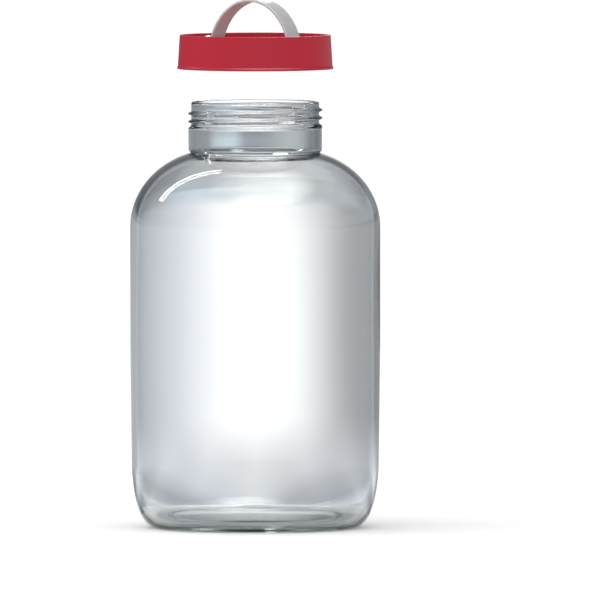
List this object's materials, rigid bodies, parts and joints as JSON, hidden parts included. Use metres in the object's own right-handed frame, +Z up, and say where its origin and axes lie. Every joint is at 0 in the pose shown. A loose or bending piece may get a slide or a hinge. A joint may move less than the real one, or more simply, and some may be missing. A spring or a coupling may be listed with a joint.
{
  "type": "glass pickling jar",
  "caption": "Tall clear glass jar with a round shoulder and screw-threaded neck, closed by a red plastic screw lid with a white carry strap.",
  "frame": {"origin": "middle of the base, on the surface that the jar stands on", "axes": "+Z up along the jar's axis, +X along the strap's arch, +Y across the strap"},
  "size_m": [0.2, 0.2, 0.4228],
  "materials": {
    "clear_glass": "clear fire-polished container glass",
    "red_plastic": "moulded polypropylene, satin gloss",
    "white_plastic": "moulded polyethylene strap, satin",
    "plug_plastic": "soft milky polyethylene",
    "seal_rubber": "pale food-grade seal ring",
    "rivet_steel": "stainless steel"
  },
  "bodies": {
    "jar": {"glass_jar": "clear_glass"},
    "plug": {"inner_plug": "plug_plastic"},
    "seal": {"lid_gasket": "seal_rubber"},
    "lid": {"screw_lid": "red_plastic", "carry_strap": "white_plastic", "strap_rivet_left": "rivet_steel", "strap_rivet_right": "rivet_steel", "rivet_washer_left": "rivet_steel", "rivet_washer_right": "rivet_steel"}
  },
  "joints": [
    {"name": "lid_lift", "type": "slide", "parent": "jar", "child": "plug", "axis": [0, 0, 1], "range_m": [-0.0315, 0]},
    {"name": "lid_rise", "type": "slide", "parent": "plug", "child": "seal", "axis": [0, 0, 1], "range_m": [-0.00961, 0]},
    {"name": "lid_turn", "type": "hinge", "parent": "seal", "child": "lid", "pos_m": [0, 0, 0.38], "axis": [0, 0, 1], "range_deg": [-540, 0]}
  ],
  "couplings": [
    {"joint": "lid_rise", "follows": "lid_turn", "m_per_rad": 0.0010186}
  ]
}
